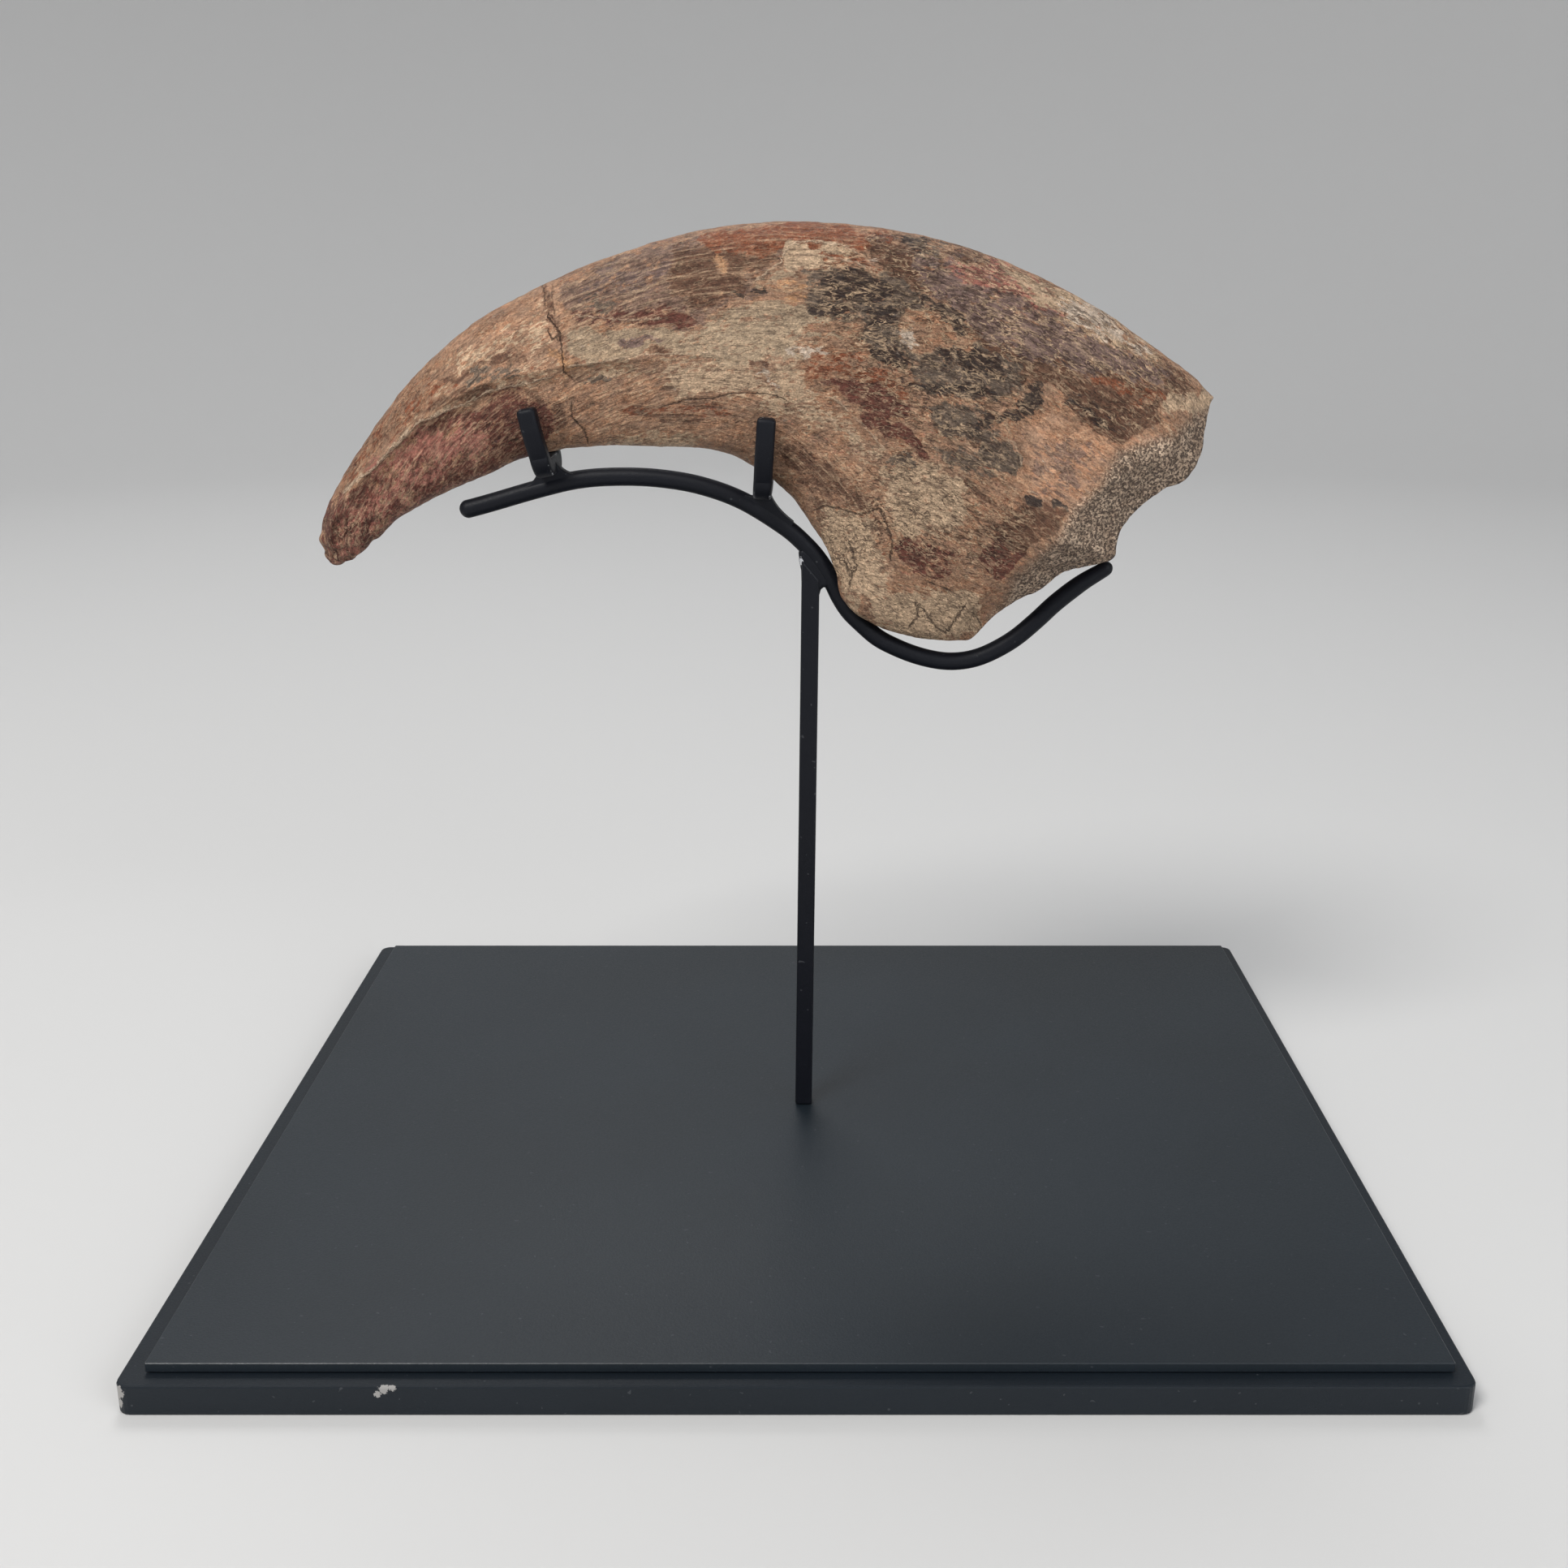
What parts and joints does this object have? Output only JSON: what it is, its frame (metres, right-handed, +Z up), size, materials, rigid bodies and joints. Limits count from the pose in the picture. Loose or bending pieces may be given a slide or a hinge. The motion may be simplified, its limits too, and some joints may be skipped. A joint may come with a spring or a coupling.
{
  "type": "fossil theropod claw on display mount",
  "caption": "Curved fossil hand claw of a large meat-eating dinosaur, held by a bent rod and two clips on a slim post with a stepped rectangular base.",
  "frame": {"origin": "middle of the base's underside", "axes": "+X from the claw's tip towards its wrist end, +Y away from the viewer of the picture, +Z up"},
  "size_m": [0.3048, 0.254, 0.2558],
  "materials": {
    "fossil_bone": "mineralised bone, satin cortex in tan, rust, maroon and grey, with rough spongy bone at the wrist end",
    "black_bars": "satin black paint, slightly blue, worn at the clips",
    "black_plates": "fine-grained satin black powder coat with a few chips"
  },
  "bodies": {
    "root": {"claw": "fossil_bone", "cradle_rod": "black_bars", "tip_clip": "black_bars", "mid_clip": "black_bars", "post": "black_bars", "top_plate": "black_plates", "base_plate": "black_plates"}
  },
  "joints": []
}
